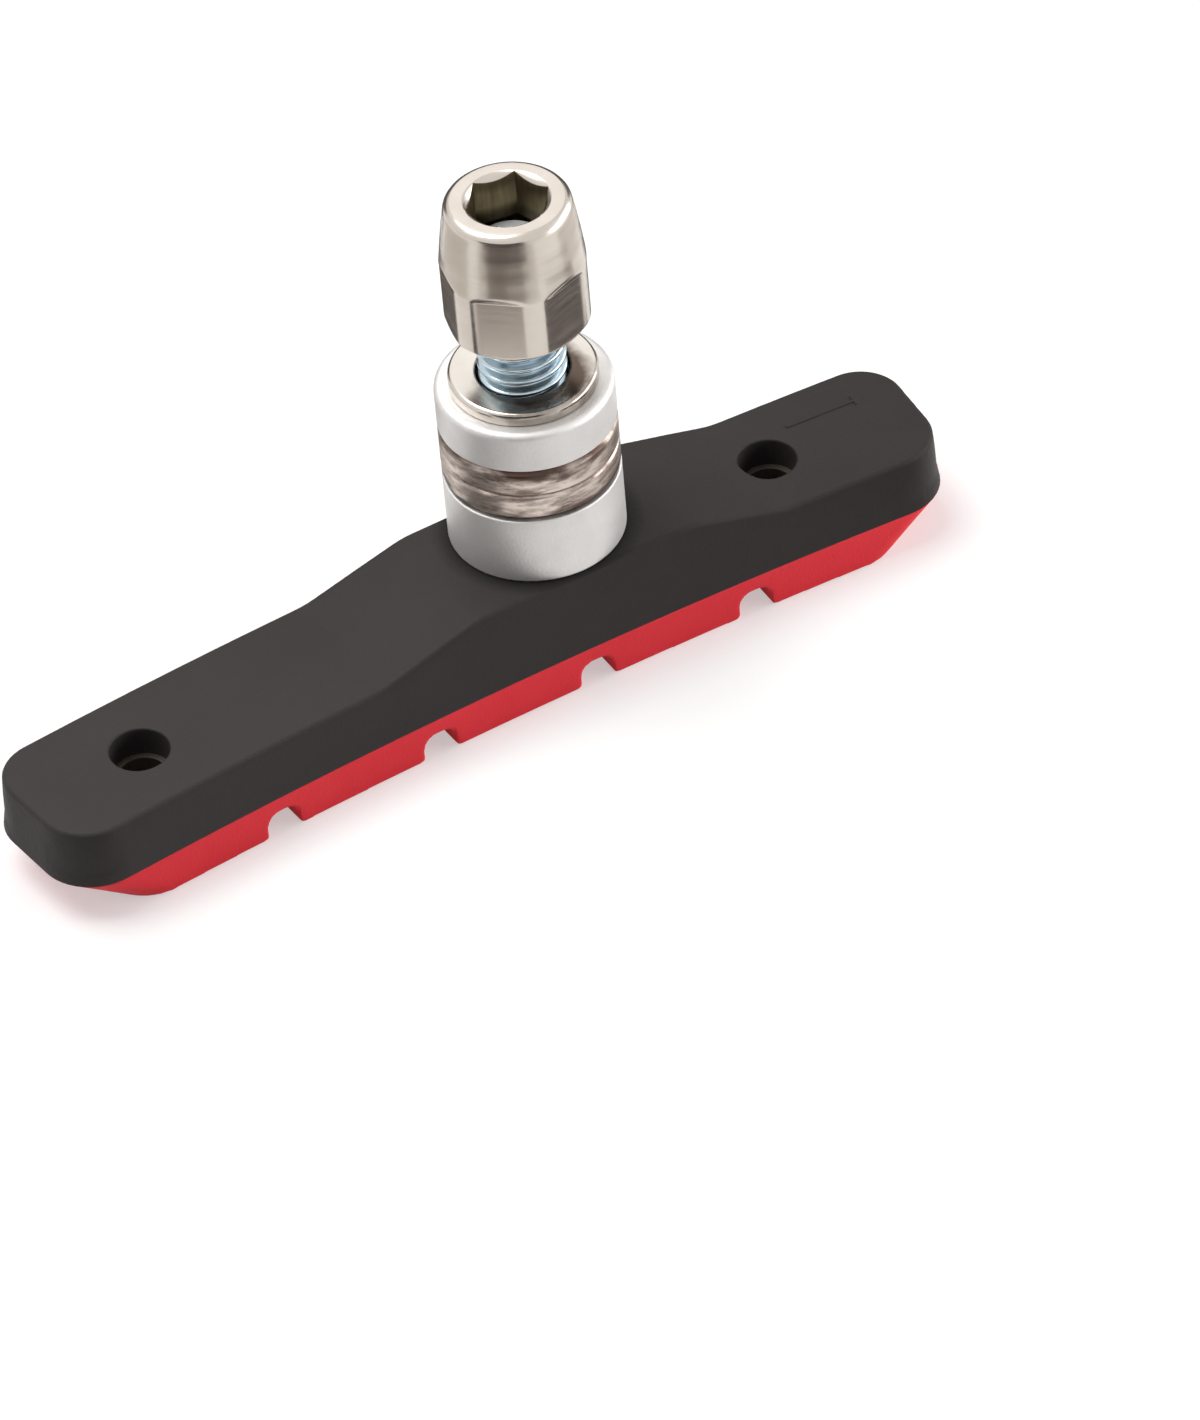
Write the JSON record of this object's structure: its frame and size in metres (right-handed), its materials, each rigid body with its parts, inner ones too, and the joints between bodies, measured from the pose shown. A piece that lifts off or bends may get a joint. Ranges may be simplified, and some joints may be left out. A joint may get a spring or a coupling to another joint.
{
  "type": "bicycle rim brake pad",
  "caption": "Curved rim brake pad with a grooved red rubber block on a black backing, a threaded stud, ball-seat washers for angle setting and a sleeve nut.",
  "frame": {"origin": "on the friction face at the pad's mid length, on the bent centreline", "axes": "+X along the pad towards its short end, where the stud is nearer; +Y away from the wheel's centre, towards the tyre; +Z along the stud, away from the rim"},
  "size_m": [0.0708, 0.0139, 0.0375],
  "materials": {
    "friction_rubber": "matte moulded red rubber compound",
    "backing_rubber": "matte hard black moulded rubber",
    "insert_steel": "plain pressed steel",
    "stud_zinc": "blue-white zinc plate",
    "dished_washer_steel": "satin tumbled zinc plate",
    "domed_washer_steel": "worn satin steel with brown stains",
    "flat_washer_nickel": "bright nickel plate",
    "nut_nickel": "bright nickel plate, slightly smoky"
  },
  "bodies": {
    "pad": {"friction_block": "friction_rubber", "backing": "backing_rubber", "backing_plate": "insert_steel", "stud": "stud_zinc", "inner_dished_washer": "dished_washer_steel", "inner_domed_washer": "domed_washer_steel", "outer_domed_washer": "domed_washer_steel", "outer_dished_washer": "dished_washer_steel", "flat_washer": "flat_washer_nickel"},
    "nut": {"lining_nut": "nut_nickel"}
  },
  "joints": [
    {"name": "nut_travel", "type": "slide", "parent": "pad", "child": "nut", "axis": [0, 0, 1], "range_m": [0, 0.005]}
  ]
}
